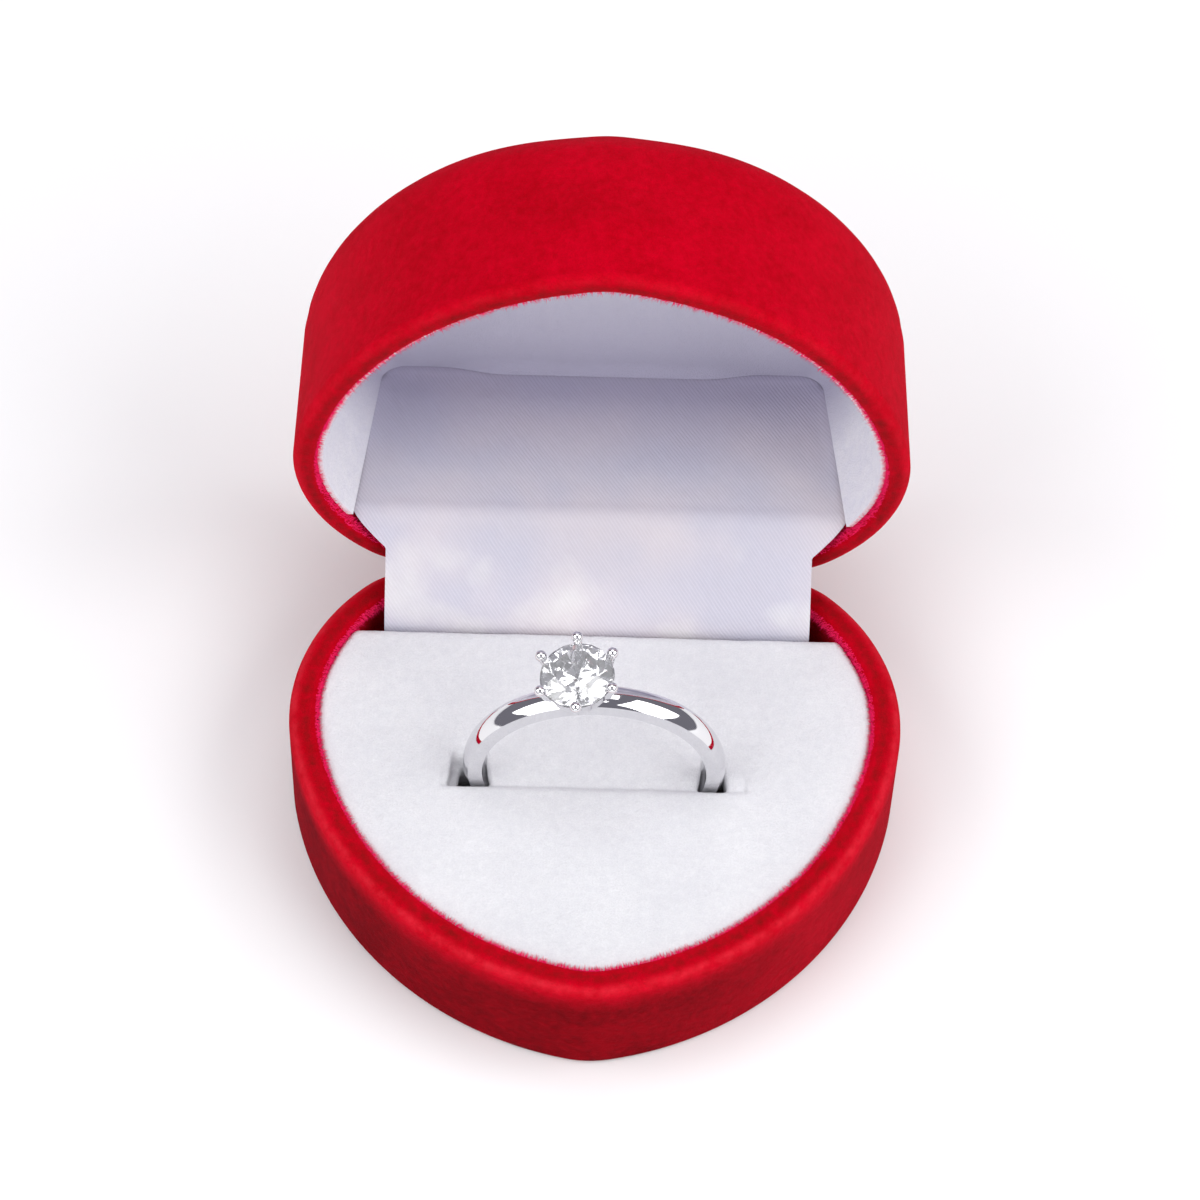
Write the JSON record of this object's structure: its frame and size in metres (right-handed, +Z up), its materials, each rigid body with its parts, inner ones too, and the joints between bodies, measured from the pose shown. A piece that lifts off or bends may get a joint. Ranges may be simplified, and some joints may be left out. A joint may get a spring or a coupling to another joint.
{
  "type": "jewelry gift box",
  "caption": "Heart-shaped flocked ring box with a swing-up lid, satin hinge cover, slotted white pad and a solitaire ring that lifts out.",
  "frame": {"origin": "centre of the base's underside, on the surface the box stands on", "axes": "+Z up, +Y from the heart's tip towards the hinge, +X to the right seen from the tip"},
  "size_m": [0.048, 0.0553, 0.0496],
  "materials": {
    "red_flock": "red rayon flock on moulded plastic",
    "liner_flock": "white flock on formed plastic sheet",
    "white_flock": "white flock",
    "white_foam": "soft foam",
    "satin": "satin weave",
    "card": "grey board",
    "hinge_steel": "nickel plated sheet",
    "ring_metal": "polished rhodium plate",
    "stone": "cut clear stone"
  },
  "bodies": {
    "base": {"base_shell": "red_flock", "ring_pad_foam": "white_foam", "ring_pad_cover": "white_flock", "hinge_leaf_base": "hinge_steel", "hinge_pin": "hinge_steel", "hinge_spring": "hinge_steel", "satin_lining": "satin"},
    "lid": {"lid_shell": "red_flock", "lid_liner": "liner_flock", "lid_card": "card", "hinge_leaf_lid": "hinge_steel"},
    "ring": {"ring_band": "ring_metal", "ring_head": "ring_metal", "ring_stone": "stone"}
  },
  "joints": [
    {"name": "lid_hinge", "type": "hinge", "parent": "base", "child": "lid", "pos_m": [0, 0.01923, 0.0112], "axis": [1, 0, 0], "range_deg": [0, 90], "deforming": ["satin_lining", "hinge_spring"]},
    {"name": "ring_lift", "type": "slide", "parent": "base", "child": "ring", "axis": [0, 0, 1], "range_m": [0, 0.03]}
  ]
}
